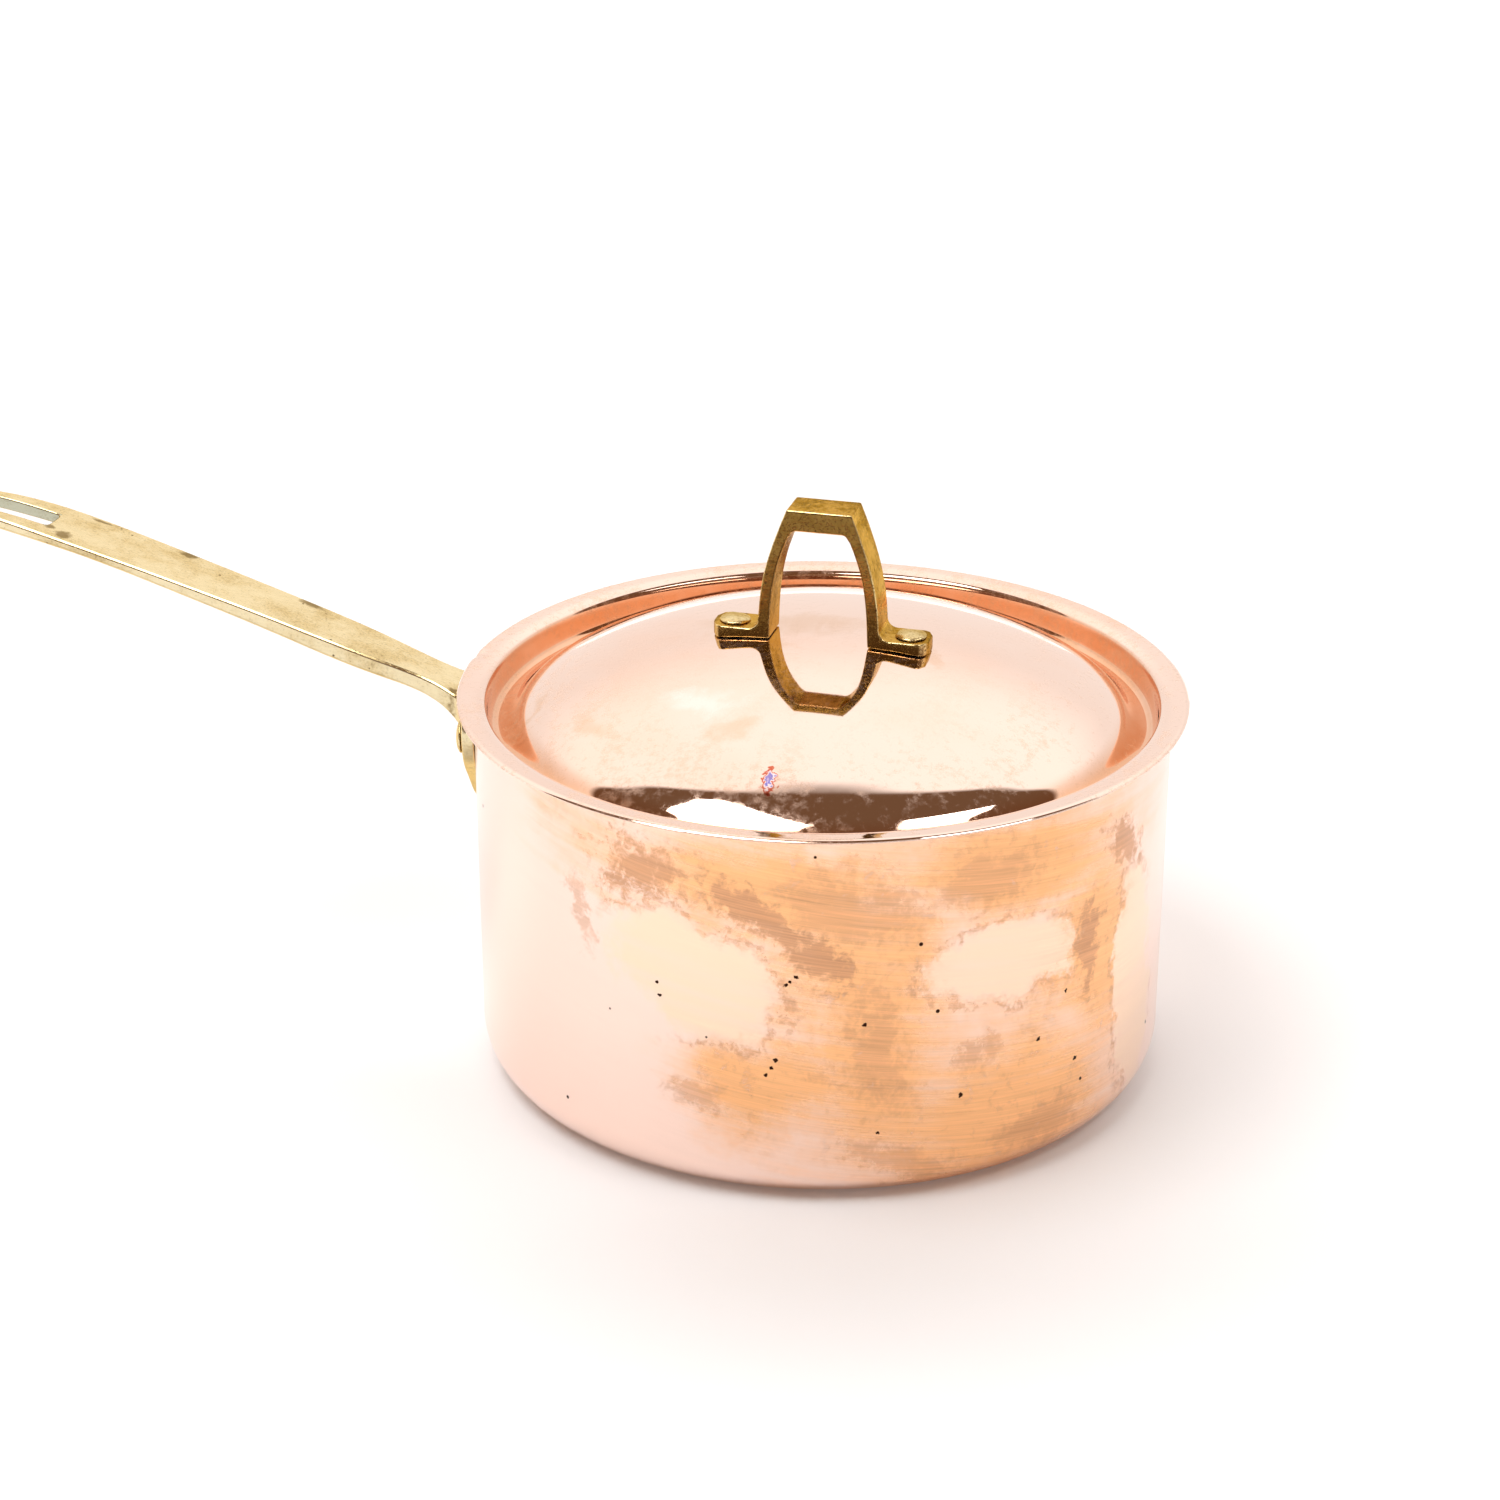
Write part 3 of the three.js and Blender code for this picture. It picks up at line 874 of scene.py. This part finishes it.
def copper_body_material():
    """Polished copper wall with heat stains, brush marks and a few dark pits."""
    n = new_material("copper_body")
    p = n.place()
    where = around_and_up(n, p, PAN_RADIUS)
    there = n.vector("ADD", where, n.scatter(p, (34, 26, 0), Scale=40.0, Detail=8.0, Roughness=0.72))
    cloud = n.noise(p, 24, 5, 0.6)
    curds = n.noise(p, 290, 6, 0.68, 0.5)
    x, y, z = n.split(p)
    leaning = n.point(x, y, n.math("ADD", z, n.math("MULTIPLY", x, 0.16)))
    brush = n.noise(n.vector("MULTIPLY", leaning, (42, 42, 2000)), 1, 4, 0.6)
    broad_brush = n.noise(n.vector("MULTIPLY", leaning, (14, 14, 260)), 1, 4, 0.6)

    tan_raw = n.math("ADD", patches(n, there, TAN_AREAS), swing(n, cloud, 1.4))
    tan_raw = n.math("ADD", tan_raw, swing(n, broad_brush, 0.9))
    pale_raw = n.math("ADD", patches(n, there, PALE_AREAS), swing(n, curds, 0.5))
    pale = n.math("MULTIPLY", n.step(pale_raw, -0.02, 0.3), n.step(broad_brush, 0.25, 0.6, 0.55, 1.0))
    tan = n.math("MULTIPLY", n.step(tan_raw, -0.35, 0.75), n.less(pale, 0.5))
    ragged = n.math("ADD", swing(n, curds, 2.2), swing(n, cloud, 1.0))
    brown = n.step(n.math("ADD", patches(n, there, BROWN_AREAS), ragged), 0.05, 0.6)
    faded = n.step(n.math("ADD", patches(n, there, FADED_AREAS), ragged), 0.05, 0.75)
    brown = n.math("MAXIMUM", n.math("MULTIPLY", brown, 0.85), n.math("MULTIPLY", faded, 0.5))
    outline = n.math("SUBTRACT", 1, n.math("MULTIPLY", n.math("ABSOLUTE", pale_raw), 7), clamp=True)
    outline = n.math("MULTIPLY", outline, n.step(curds, 0.42, 0.56, 0.0, 0.7))
    brown = n.math("MAXIMUM", brown, n.math("MULTIPLY", outline, n.step(tan_raw, -0.5, 0.1)))
    fine = n.step(n.math("ADD", swing(n, curds, 3.2), swing(n, cloud, 2.2)), 0.18, 0.6)
    fine = n.math("MULTIPLY", fine, n.math("MULTIPLY", tan, 0.36))

    flecks = n.step(n.math("ADD", swing(n, curds, 2.0), swing(n, n.noise(p, 95, 4, 0.6), 1.2)), 0.28, 0.5)
    tan = n.math("MULTIPLY", tan, n.less(flecks, 0.4))
    colour = n.mix(tan, CLEAN_COPPER, TAN_COPPER)
    colour = n.mix(n.math("MAXIMUM", brown, fine), colour, BROWN_COPPER)
    colour = n.mix(n.math("MULTIPLY", pale, n.less(brown, 0.8)), colour, CREAM_COPPER)
    grain = n.math("ADD", swing(n, brush, 0.4), swing(n, broad_brush, 0.25))
    grain = n.math("MULTIPLY", grain, n.math("ADD", 0.18, n.math("ADD", tan, brown)))
    colour = n.vector("MULTIPLY", colour, n.math("ADD", 1, grain))
    underside = n.mix(n.step(cloud, 0.35, 0.65), BASE_COPPER, BASE_HEATED)
    colour = n.mix(n.step(z, 0.0002, 0.003, 1, 0), colour, underside)
    ragged_place = n.vector("ADD", where, n.scatter(p, (1.5, 1.5, 0), Scale=900.0, Detail=2.0))
    spots = n.math("MAXIMUM", pits(n, ragged_place, WALL_PITS, 0.62), random_pits(n, p, 70, 0.045))
    colour = n.mix(spots, colour, PIT_DARK)

    rough = n.math("ADD", 0.2, n.math("MULTIPLY", n.math("ADD", tan, brown), 0.09))
    rough = n.math("ADD", rough, swing(n, brush, 0.1))
    height = n.math("SUBTRACT", n.math("MULTIPLY", brush, 0.35), spots)
    return n.metal(colour, rough, height, 0.00006, 0.5)


LID_PINK = (0.94, 0.745, 0.64, 1)
LID_WARM = (0.94, 0.69, 0.56, 1)
# Painted reflection colour for the lid's groove.
GROOVE_REFLECTION_ORANGE = (0.82, 0.455, 0.27, 1)
HAZE_PALE = (0.96, 0.86, 0.79, 1)
TAN_AND_LOOP_SHADE = (0.80, 0.54, 0.36, 1)
FILM_BROWN = (0.80, 0.47, 0.28, 1)

# Marks on the lid: centre and half size as (x, y) in mm, and tilt in degrees
LID_HAZE = ((-22, -42), (13, 7), 0)
# Tan patches; the ones at the loop's lug end and at its leg feet are painted shade round the loop.
LID_TAN_AND_LOOP_SHADE = (
    ((-9, -53), (9, 5), 20),
    ((-48, -50), (5, 9), 40),
    ((-74, -36), (2, 14), -24),
    ((31, -3), (3, 5), 0),
    ((16, -7), (4, 4), 0),
    ((-10, -7), (4, 4), 0),
    ((-14, 8), (30, 12), 10),
)
HEAT_MARK = ((3.2, -69), (1.7, 4.3), 10)

# Rings of the heat mark from its edge inwards: start, full strength and colour
HEAT_RINGS = (
    (-0.12, 0.02, (0.62, 0.12, 0.06, 1)),
    (0.12, 0.3, (0.95, 0.78, 0.80, 1)),
    (0.36, 0.5, (0.24, 0.22, 0.62, 1)),
    (0.66, 0.8, (0.62, 0.50, 0.80, 1)),
)


def copper_lid_material():
    """Bright polished copper with faint smears, tan patches with painted shade at the loop's feet, an
    orange painted reflection in the groove and one small heat mark.
    """
    n = new_material("copper_lid")
    p = n.place()
    millimetres = n.vector("MULTIPLY", p, (1000, 1000, 0))
    there = n.vector("ADD", millimetres, n.scatter(p, (22, 22, 0), Scale=70.0, Detail=4.0))
    cloud = n.noise(p, 16, 4, 0.55)
    smear = n.noise(n.vector("MULTIPLY", p, (90, 30, 90)), 1, 5, 0.62, 0.6)
    dust = n.noise(p, 420, 5, 0.7)
    colour = n.mix(n.step(cloud, 0.38, 0.7), LID_PINK, LID_WARM)
    from_axis = n.measure("LENGTH", millimetres)
    # Painted reflection: the groove between the dome and the flange is tinted orange, like copper seen
    # mirrored in copper.
    groove_reflection = n.math("MULTIPLY", n.step(from_axis, 79, 84), n.step(from_axis, 90.4, 91.4, 1, 0))
    groove_reflection = n.math("MULTIPLY", groove_reflection, n.step(smear, 0.2, 0.6, 0.7, 1.0))
    colour = n.mix(groove_reflection, colour, GROOVE_REFLECTION_ORANGE)
    haze = n.step(n.math("ADD", patch(n, there, *LID_HAZE), swing(n, smear, 1.5)), 0.0, 0.8)
    colour = n.mix(n.math("MULTIPLY", haze, 0.7), colour, HAZE_PALE)
    # Tan patches, with painted shade round the loop's feet among them.
    tan_and_loop_shading = n.math("ADD", patches(n, there, LID_TAN_AND_LOOP_SHADE), swing(n, smear, 1.6))
    colour = n.mix(n.math("MULTIPLY", n.step(tan_and_loop_shading, 0.05, 0.8), 0.5), colour, TAN_AND_LOOP_SHADE)

    ragged_place = n.vector("ADD", millimetres, n.scatter(p, (6.0, 6.5, 0), Scale=520.0, Detail=5.0))
    mark = patch(n, ragged_place, *HEAT_MARK)
    for start, full, tint in HEAT_RINGS:
        colour = n.mix(n.step(mark, start, full), colour, tint)

    grime = n.math("ADD", swing(n, dust, 2.2), n.math("ADD", swing(n, smear, 1.6), swing(n, cloud, 1.0)))
    film = n.math("MULTIPLY", n.step(grime, -0.1, 0.5), n.step(from_axis, 52, 68, 0.25, 1.0))
    colour = n.mix(n.math("MULTIPLY", film, 0.35), colour, FILM_BROWN)
    rough = n.math("ADD", 0.045, n.math("MULTIPLY", film, 0.1))
    rough = n.math("ADD", rough, n.math("MULTIPLY", haze, 0.05))
    rings = n.noise(n.vector("MULTIPLY", millimetres, (0.06, 0.06, 0)), 1, 3)
    return n.metal(colour, rough, rings, 0.00003, 0.35, n.less(film, 0.26))


def lining_material():
    """Bright metal inside, turned and wiped round."""
    n = new_material("bright_lining")
    p = n.place()
    brush = n.noise(n.vector("MULTIPLY", p, (60, 60, 1100)), 1, 4, 0.6)
    cloud = n.noise(p, 30, 4, 0.6)
    worn = n.step(n.math("ADD", cloud, swing(n, brush, 0.5)), 0.35, 0.72)
    colour = n.mix(worn, (0.60, 0.60, 0.575, 1), (0.70, 0.70, 0.68, 1))
    rough = n.math("ADD", n.step(brush, 0.3, 0.7, 0.2, 0.34), swing(n, cloud, 0.08))
    return n.metal(colour, rough, brush, 0.00004, 0.4)


# Stains on the long handle: centre and half size as (distance, across) in mm, and tilt
HANDLE_STAINS = (
    ((-187, 8.5), (4.2, 2.4), 0),
    ((-150, 7.6), (4.6, 2.2), 0),
    ((-218, -7.0), (3.2, 3.2), 0),
    ((-223, -4.6), (3.0, 1.6), 0),
    ((-213, 8.8), (4.0, 1.0), 0),
    ((-103, -6.5), (2.6, 2.2), 0),
)


DIRT = (0.22, 0.15, 0.07, 1)
SLOT_PATINA = (0.42, 0.46, 0.38, 1)
# Painted shade colour for faces turned across Y and faces turned down.
PAINTED_SHADE_BROWN = (0.14, 0.08, 0.018, 1)
# Worn edges, and also a painted highlight along the bevels.
WORN_AND_HIGHLIT_BRASS = (0.84, 0.66, 0.33, 1)
SPECK_DARK = (0.16, 0.09, 0.03, 1)
BRASS_PIT = (0.07, 0.035, 0.015, 1)
BRASS_EDGE = (0.9, 0.73, 0.42, 1)


def slot_inside(n, flat):
    """1 on the walls of the hanging slot, 0 elsewhere on the handle."""
    x, y, _ = n.split(flat)
    along = n.math("ABSOLUTE", n.math("ADD", x, (SLOT_NEAR + SLOT_FAR) / 2))
    across = n.math("ABSOLUTE", y)
    half_length, half_width = SLOT_LENGTH / 2, SLOT_WIDTH / 2
    within = n.step(along, half_length, half_length + 0.15, 1, 0)
    return n.math("MULTIPLY", within, n.step(across, half_width, half_width + 0.15, 1, 0))


def cast_brass(name, light, dark, rough, stains=(), patina=0.0, side_shading=0.0, under=0.0, relief=0.6):
    """Cast and filed brass: cloudy colour, file marks, dirt, worn edges lightened partly as a painted
    highlight, painted shade on some faces, dark stains and pits.

    The side and under amounts say how much painted shade darkens the faces across Y and the faces below.
    """
    n = new_material(name)
    p = n.place()
    flat = n.vector("MULTIPLY", p, (1000, 1000, 0))
    cloud = n.noise(p, 70, 5, 0.62)
    curds = n.noise(p, 420, 5, 0.68, 0.3)
    filed = n.noise(n.vector("MULTIPLY", p, (90, 1500, 1500)), 1, 3, 0.6)
    mottled = n.math("ADD", cloud, swing(n, curds, relief))
    colour = n.mix(n.step(mottled, 0.36, 0.68), light, dark)
    dirt = n.step(n.math("ADD", swing(n, curds, 2.0), swing(n, cloud, 1.8)), 0.3, 0.62)
    dirt = n.math("MULTIPLY", dirt, 0.45)
    if stains:
        raw = n.math("ADD", patches(n, flat, stains), swing(n, curds, 1.5))
        dirt = n.math("MAXIMUM", dirt, n.math("MULTIPLY", n.step(raw, 0.05, 0.6), 0.8))
    colour = n.mix(dirt, colour, DIRT)
    if patina:
        colour = n.mix(n.math("MULTIPLY", slot_inside(n, flat), patina), colour, SLOT_PATINA)
    _, facing_y, facing_up = n.split(n.add("ShaderNodeTexCoord").outputs["Normal"])
    facing_side = n.math("ABSOLUTE", facing_y)
    # Painted shade: faces across Y and faces turned downwards darken towards a shade brown by the way they
    # face.
    side_shade = n.step(n.math("ADD", facing_side, swing(n, curds, 0.7)), 0.55, 0.9, 0, side_shading)
    underside = n.step(n.math("SUBTRACT", swing(n, cloud, 0.5), facing_up), -0.1, 0.9, 0, under)
    colour = n.mix(n.math("MAXIMUM", side_shade, underside), colour, PAINTED_SHADE_BROWN)
    # Bevels between the faces across Y and the rest are lightened: worn brass, and a painted highlight
    # along the edges.
    worn = n.math("MULTIPLY", n.step(facing_side, 0.2, 0.42), n.step(facing_side, 0.72, 0.92, 1, 0))
    worn = n.math("MULTIPLY", worn, n.step(curds, 0.3, 0.5, 0.3, 0.85))
    colour = n.mix(worn, colour, WORN_AND_HIGHLIT_BRASS)
    grain = n.math("ADD", n.noise(p, 1500, 3, 0.6), swing(n, cloud, 0.5))
    specks = n.step(grain, 0.52, 0.66, 0, relief * 0.6)
    colour = n.mix(specks, colour, SPECK_DARK)
    spots = random_pits(n, p, 190, 0.075)
    colour = n.mix(n.math("MULTIPLY", spots, 0.85), colour, BRASS_PIT)
    colour = n.vector("MULTIPLY", colour, n.math("ADD", 1, swing(n, filed, 0.22)))
    roughness = n.math("ADD", n.step(cloud, 0.3, 0.7, *rough), n.math("MULTIPLY", dirt, 0.25))
    height = n.math("ADD", n.math("MULTIPLY", filed, 0.4), n.math("MULTIPLY", curds, 0.6))
    height = n.math("SUBTRACT", n.math("SUBTRACT", height, spots), n.math("MULTIPLY", specks, 0.5))
    return n.metal(colour, roughness, height, 0.0001, relief, 1.0, BRASS_EDGE)


# ---------------------------------------------------------------- studio

# Softboxes overhead: corners in metres from the camera's side, height and brightness
LEFT_PANEL = (
    (-1.25, -0.4), (-0.95, -0.13), (-0.62, 0.12), (-0.46, 0.12),
    (-0.26, -0.2), (-0.08, -0.62), (-0.2, -0.95), (-1.2, -0.95),
)
RIGHT_PANEL = ((0.52, -0.45), (0.78, -0.3), (1.2, -0.1), (1.32, -0.3), (1.2, -0.8), (0.6, -0.9))
PANEL_HEIGHT = 1.5
LEFT_BRIGHTNESS = 6.1
RIGHT_BRIGHTNESS = 4.8

# Lamp for the paper behind the object
LAMP_PLACE = (0, 1.6, 1.9)
LAMP_SIZE = (3.0, 1.2)
LAMP_WATTS = 26

# Surroundings: brightness of the backdrop low and high up, of the room in front, and the ceiling
BACKDROP_LIGHT = 0.84
BACKDROP_HIGH = 1.12
FRONT_LIGHT = 0.14
CEILING_LIGHT = (0.17, 0.092, 0.05)
CEILING_EDGE = 0.32


def turned(x, y, z):
    """A point given from the camera's side: x right, y away from the camera."""
    return Matrix.Rotation(CAMERA_TURN * DEGREE, 3, "Z") @ Vector((x, y, z))


def make_camera():
    data = bpy.data.cameras.new("camera")
    data.lens = CAMERA_LENS
    data.sensor_width = 36
    camera = bpy.data.objects.new("camera", data)
    bpy.context.scene.collection.objects.link(camera)
    turn = Matrix.Rotation(CAMERA_TURN * DEGREE, 4, "Z")
    tilt = turn @ Matrix.Rotation((90 - CAMERA_PITCH) * DEGREE, 4, "X")
    offset = Vector((CAMERA_RIGHT, CAMERA_RISE, CAMERA_DISTANCE))
    camera.matrix_world = Matrix.Translation(tilt @ offset) @ tilt
    bpy.context.scene.camera = camera


def make_softbox(name, corners, height, brightness):
    """A glowing panel overhead with the given corners, as seen from the camera's side."""
    bm = bmesh.new()
    bm.faces.new([bm.verts.new(turned(x, y, height) / MM) for x, y in corners])
    panel = finish_mesh(name, bm)
    n = new_material(name)
    glow = n.add("ShaderNodeEmission", {"Color": (1, 1, 1, 1), "Strength": brightness})
    panel.data.materials.append(n.surface(glow))
    panel.visible_camera = False


def make_backdrop_lamp():
    """Keeps the paper behind the object white; it isn't seen in the metal."""
    data = bpy.data.lights.new("backdrop_lamp", "AREA")
    data.shape = "RECTANGLE"
    data.size, data.size_y = LAMP_SIZE
    data.energy = LAMP_WATTS
    lamp = bpy.data.objects.new("backdrop_lamp", data)
    bpy.context.scene.collection.objects.link(lamp)
    turn = Matrix.Rotation(CAMERA_TURN * DEGREE, 4, "Z")
    lamp.matrix_world = Matrix.Translation(turned(*LAMP_PLACE)) @ turn
    lamp.visible_camera = False
    lamp.visible_glossy = False


def make_floor():
    """White paper, plain where the object stands and glowing far from it."""
    bm = bmesh.new()
    bmesh.ops.create_grid(bm, x_segments=8, y_segments=8, size=4000)
    floor = finish_mesh("studio_floor", bm)
    floor.location.z = -0.00002
    n = new_material("studio_paper")
    shader = n.add("ShaderNodeBsdfPrincipled", {"Base Color": (0.9, 0.9, 0.905, 1), "Roughness": 0.6})
    shader.inputs["Specular IOR Level"].default_value = 0.2
    shader.inputs["Emission Color"].default_value = (1, 1, 1, 1)
    away = n.measure("LENGTH", n.place())
    n.tree.links.new(n.step(away, 0.8, 2.6, 0.06, 0.75), shader.inputs["Emission Strength"])
    floor.data.materials.append(n.surface(shader))


def make_world():
    """White backdrop behind, a dim ceiling overhead and plain white where the camera looks."""
    world = bpy.data.worlds.new("studio")
    bpy.context.scene.world = world
    n = Nodes(world)
    direction = n.add("ShaderNodeTexCoord").outputs["Generated"]
    away = n.measure("DOT_PRODUCT", direction, turned(0, 1, 0))
    up = n.split(direction)[2]
    over = n.math("SUBTRACT", away, n.math("MULTIPLY", up, CEILING_EDGE))
    rising = n.step(up, 0.3, 0.65, BACKDROP_LIGHT, BACKDROP_HIGH)
    backdrop = n.math("MULTIPLY", n.step(over, -0.03, 0.03), rising)
    front = n.step(n.math("ADD", away, n.math("MULTIPLY", up, 1.5)), -0.1, 0.0, FRONT_LIGHT, 0.0)
    light = n.vector("ADD", n.math("ADD", backdrop, front), CEILING_LIGHT)
    seen = n.add("ShaderNodeLightPath").outputs["Is Camera Ray"]
    shown = n.mix(seen, light, (1.0, 1.0, 1.0, 1))
    background = n.add("ShaderNodeBackground", {"Color": shown, "Strength": 1.0})
    n.add("ShaderNodeOutputWorld", {0: background.outputs[0]})


def make_studio():
    make_camera()
    make_floor()
    make_world()
    make_softbox("softbox_left", LEFT_PANEL, PANEL_HEIGHT, LEFT_BRIGHTNESS)
    make_softbox("softbox_right", RIGHT_PANEL, PANEL_HEIGHT, RIGHT_BRIGHTNESS)
    make_backdrop_lamp()
    scene = bpy.context.scene
    scene.view_settings.view_transform = "Standard"
    scene.view_settings.look = "None"
    scene.view_settings.exposure = 0.0


def dress(piece, material):
    piece.data.materials.clear()
    piece.data.materials.append(material)


body_copper = copper_body_material()
lid_copper = copper_lid_material()
lining = lining_material()
handle_brass = cast_brass(
    "handle_brass",
    light=(0.83, 0.735, 0.49, 1),
    dark=(0.72, 0.59, 0.33, 1),
    rough=(0.13, 0.26),
    stains=HANDLE_STAINS,
    patina=0.8,
    # Painted shade on the handle's faces across Y and, stronger, on its underside.
    side_shading=0.12,
    under=0.75,
    relief=0.35,
)
loop_brass = cast_brass(
    "loop_brass",
    light=(0.64, 0.395, 0.115, 1),
    dark=(0.34, 0.18, 0.03, 1),
    rough=(0.12, 0.28),
    # Strong painted shade on the loop's faces across Y and on its underside.
    side_shading=0.85,
    under=0.6,
    relief=1.0,
)
rivet_brass = cast_brass(
    "rivet_brass",
    light=(0.74, 0.62, 0.36, 1),
    dark=(0.58, 0.44, 0.20, 1),
    rough=(0.22, 0.34),
)

dress(make_pan_shell(), body_copper)
dress(make_pan_lining(), lining)
dress(make_lid_sheet(), lid_copper)
dress(make_lid_lining(), lining)
dress(make_long_handle(), handle_brass)
dress(make_loop(), loop_brass)
for index, (node, angle, height) in enumerate(HANDLE_RIVETS):
    dress(make_handle_rivet(node, angle, height, 31 + index), rivet_brass)
for index, (node, x) in enumerate(LID_RIVETS):
    dress(make_lid_rivet(node, x, 51 + index), rivet_brass)
make_studio()
